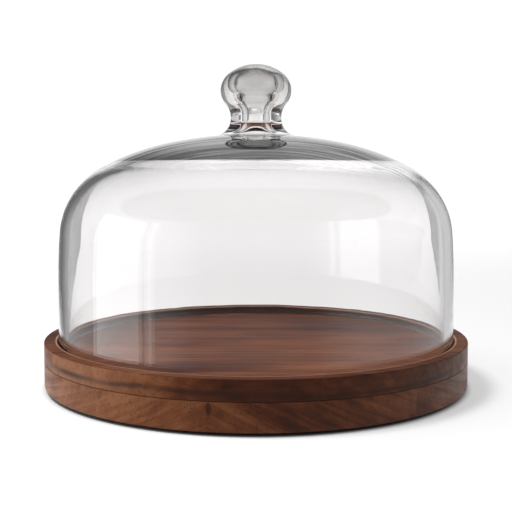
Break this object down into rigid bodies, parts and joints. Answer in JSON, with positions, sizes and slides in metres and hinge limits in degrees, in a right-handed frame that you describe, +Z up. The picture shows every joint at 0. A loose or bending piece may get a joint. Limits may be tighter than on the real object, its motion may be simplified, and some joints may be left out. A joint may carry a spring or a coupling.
{
  "type": "cheese dome",
  "caption": "Clear glass bell with a waisted glass knob, standing in the shallow round recess of a dark wooden base; the bell lifts straight off.",
  "frame": {"origin": "on the axis of the base and bell, on the surface that the feet stand on", "axes": "+Z up along the axis; +X to the right along the wood's grain; -Y towards the viewer"},
  "size_m": [0.3, 0.3, 0.2268],
  "materials": {
    "clear_glass": "clear, fire-polished",
    "top_wood": "dark oiled satin",
    "bottom_wood": "dark oiled satin",
    "foot_rubber": "matte black"
  },
  "bodies": {
    "base": {"top_board_front": "top_wood", "top_board_inner_front": "top_wood", "top_board_inner_back": "top_wood", "top_board_back": "top_wood", "bottom_board_front": "bottom_wood", "bottom_board_inner_front": "bottom_wood", "bottom_board_inner_back": "bottom_wood", "bottom_board_back": "bottom_wood", "foot_front_left": "foot_rubber", "foot_front_right": "foot_rubber", "foot_back_left": "foot_rubber", "foot_back_right": "foot_rubber"},
    "cover": {"glass_dome": "clear_glass", "glass_knob": "clear_glass"}
  },
  "joints": [
    {"name": "lift_off", "type": "slide", "parent": "base", "child": "cover", "axis": [0, 0, 1], "range_m": [0, 0.25]}
  ]
}
